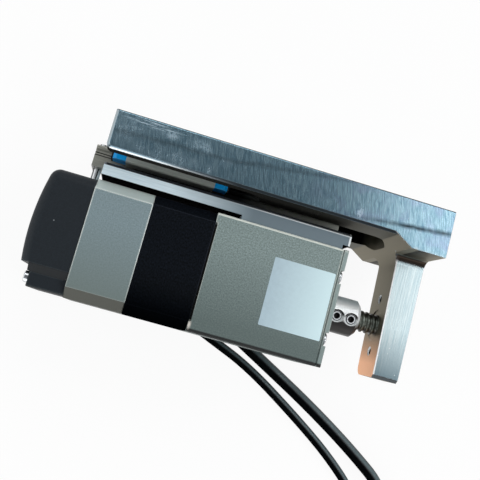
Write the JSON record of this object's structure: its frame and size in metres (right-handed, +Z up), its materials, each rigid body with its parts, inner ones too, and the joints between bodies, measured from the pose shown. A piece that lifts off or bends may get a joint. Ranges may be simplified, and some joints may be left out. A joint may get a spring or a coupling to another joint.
{
  "type": "electric cylinder",
  "caption": "Electric cylinder: hollow-shaft stepping motor with ball screw, miniature linear guide and a hook-shaped table bracket joined to the screw's end.",
  "frame": {"origin": "on the screw axis, in the front face of the front flange", "axes": "+X along the screw towards its free end, +Y from the motor to the table bracket, +Z up, towards the label side; the part lies on its back"},
  "size_m": [0.1657, 0.1615, 0.055],
  "materials": {
    "black_moulding": "fine moulded grain",
    "grey_casting": "fine blasted grey casting",
    "black_lamination": "black coated steel laminations",
    "bright_steel": "turned and ground",
    "guide_steel": "ground and lightly greased",
    "screw_steel": "rolled and greased",
    "chrome_screw": "bright plated",
    "rotor_iron": "bare laminations",
    "magnet": "sintered",
    "copper": "enamelled wire",
    "plate_aluminium": "satin, polished bevel",
    "bracket_aluminium": "brushed",
    "blue_plastic": "moulded",
    "seal_rubber": "plain",
    "wiper_felt": "oiled felt",
    "nut_plastic": "moulded",
    "board": "solder mask",
    "chip_black": "moulded",
    "cable_sheath": "soft sheath",
    "boot_rubber": "moulded",
    "plug_plastic": "moulded",
    "brass_contact": "stamped"
  },
  "bodies": {
    "motor": {"rear_cover": "black_moulding", "tie_bolts_long": "chrome_screw", "tie_bolts_short": "chrome_screw", "encoder_board": "board", "encoder_standoffs": "brass_contact", "encoder_board_screws": "chrome_screw", "encoder_chip": "chip_black", "encoder_socket": "plug_plastic", "rear_bracket": "grey_casting", "preload_washer": "bright_steel", "rear_bearing_outer_ring": "bright_steel", "stator_core": "black_lamination", "stator_coils": "copper", "front_housing": "grey_casting", "front_bearing_outer_rings": "bright_steel", "front_flange": "grey_casting", "flange_screws": "chrome_screw", "wiper_ring": "wiper_felt", "guide_plate": "plate_aluminium", "plate_screws": "chrome_screw", "guide_rail": "guide_steel", "rail_screws": "chrome_screw", "rail_stop_pin": "chrome_screw", "motor_cable_boot": "boot_rubber", "motor_cable": "cable_sheath", "motor_plug": "plug_plastic", "motor_plug_contacts": "brass_contact", "encoder_cable_boot": "boot_rubber", "encoder_cable": "cable_sheath", "encoder_plug": "plug_plastic", "encoder_plug_contacts": "brass_contact"},
    "rotor": {"hollow_shaft": "bright_steel", "shaft_end_plug": "nut_plastic", "encoder_magnet": "magnet", "rear_bearing_inner_ring": "bright_steel", "rotor_core_rear": "rotor_iron", "rotor_magnet": "magnet", "rotor_core_front": "rotor_iron", "front_bearing_inner_rings": "bright_steel", "bearing_lock_nut": "bright_steel", "ball_nut": "bright_steel", "ball_nut_caps": "nut_plastic", "nut_retaining_ring": "bright_steel"},
    "rear_ball_set": {"rear_bearing_balls": "bright_steel", "rear_bearing_cage": "brass_contact"},
    "front_ball_set": {"front_bearing_balls": "bright_steel", "front_bearing_cages": "brass_contact"},
    "table": {"hook_bracket": "bracket_aluminium", "guide_block": "guide_steel", "guide_end_caps": "blue_plastic", "guide_end_seals": "seal_rubber", "end_cap_screws": "chrome_screw", "block_screws": "chrome_screw", "ball_screw": "screw_steel", "screw_end_nut": "chrome_screw", "stop_collar": "bright_steel", "collar_set_screws": "chrome_screw"}
  },
  "joints": [
    {"name": "rotor_turn", "type": "hinge", "parent": "motor", "child": "rotor", "pos_m": [0, 0, 0], "axis": [-1, 0, 0], "range_deg": [0, 7200]},
    {"name": "rod_slide", "type": "slide", "parent": "motor", "child": "table", "axis": [1, 0, 0], "range_m": [0, 0.04]},
    {"name": "rear_balls_turn", "type": "hinge", "parent": "motor", "child": "rear_ball_set", "pos_m": [-0.0811, 0, 0], "axis": [-1, 0, 0], "range_deg": [0, 2946]},
    {"name": "front_balls_turn", "type": "hinge", "parent": "motor", "child": "front_ball_set", "pos_m": [-0.015, 0, 0], "axis": [-1, 0, 0], "range_deg": [0, 3047]}
  ],
  "couplings": [
    {"joint": "rotor_turn", "follows": "rod_slide", "rad_per_m": 3141.6},
    {"joint": "rear_balls_turn", "follows": "rod_slide", "rad_per_m": 1284.9},
    {"joint": "front_balls_turn", "follows": "rod_slide", "rad_per_m": 1328.9}
  ]
}
